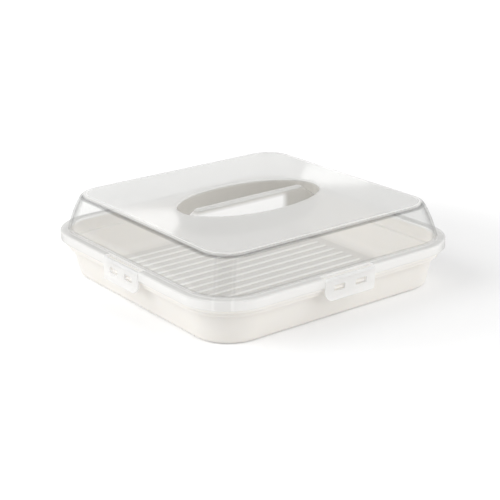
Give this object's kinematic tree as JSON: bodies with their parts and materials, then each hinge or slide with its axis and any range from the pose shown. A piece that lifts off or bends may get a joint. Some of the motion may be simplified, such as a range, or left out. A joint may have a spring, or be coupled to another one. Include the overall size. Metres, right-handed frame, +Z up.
{
  "type": "square cake carrier",
  "caption": "Square cake carrier: shallow ribbed tray, clear domed lid with a sunk pinch grip, and hinged snap clips at the sides.",
  "frame": {"origin": "middle of the underside that the carrier stands on", "axes": "+Z up, the grip runs along X, -Y is the front and +X the right side"},
  "size_m": [0.3114, 0.3114, 0.084],
  "materials": {
    "tray_plastic": "satin, warm cream",
    "lid_plastic": "glossy, slightly milky clear",
    "clip_plastic": "satin, milky translucent"
  },
  "bodies": {
    "tray": {"tray": "tray_plastic"},
    "lid": {"lid": "lid_plastic"},
    "clip_front": {"clip_front": "clip_plastic"},
    "clip_back": {"clip_back": "clip_plastic"},
    "clip_left": {"clip_left": "clip_plastic"},
    "clip_right": {"clip_right": "clip_plastic"}
  },
  "joints": [
    {"name": "lid_lift", "type": "slide", "parent": "tray", "child": "lid", "axis": [0, 0, 1], "range_m": [0, 0.12]},
    {"name": "clip_front_hinge", "type": "hinge", "parent": "lid", "child": "clip_front", "pos_m": [0, -0.15145, 0.0453], "axis": [-1, 0, 0], "range_deg": [0, 130]},
    {"name": "clip_back_hinge", "type": "hinge", "parent": "lid", "child": "clip_back", "pos_m": [0, 0.15145, 0.0453], "axis": [1, 0, 0], "range_deg": [0, 130]},
    {"name": "clip_left_hinge", "type": "hinge", "parent": "lid", "child": "clip_left", "pos_m": [-0.15145, 0, 0.0453], "axis": [0, 1, 0], "range_deg": [0, 130]},
    {"name": "clip_right_hinge", "type": "hinge", "parent": "lid", "child": "clip_right", "pos_m": [0.15145, 0, 0.0453], "axis": [0, -1, 0], "range_deg": [0, 130]}
  ]
}
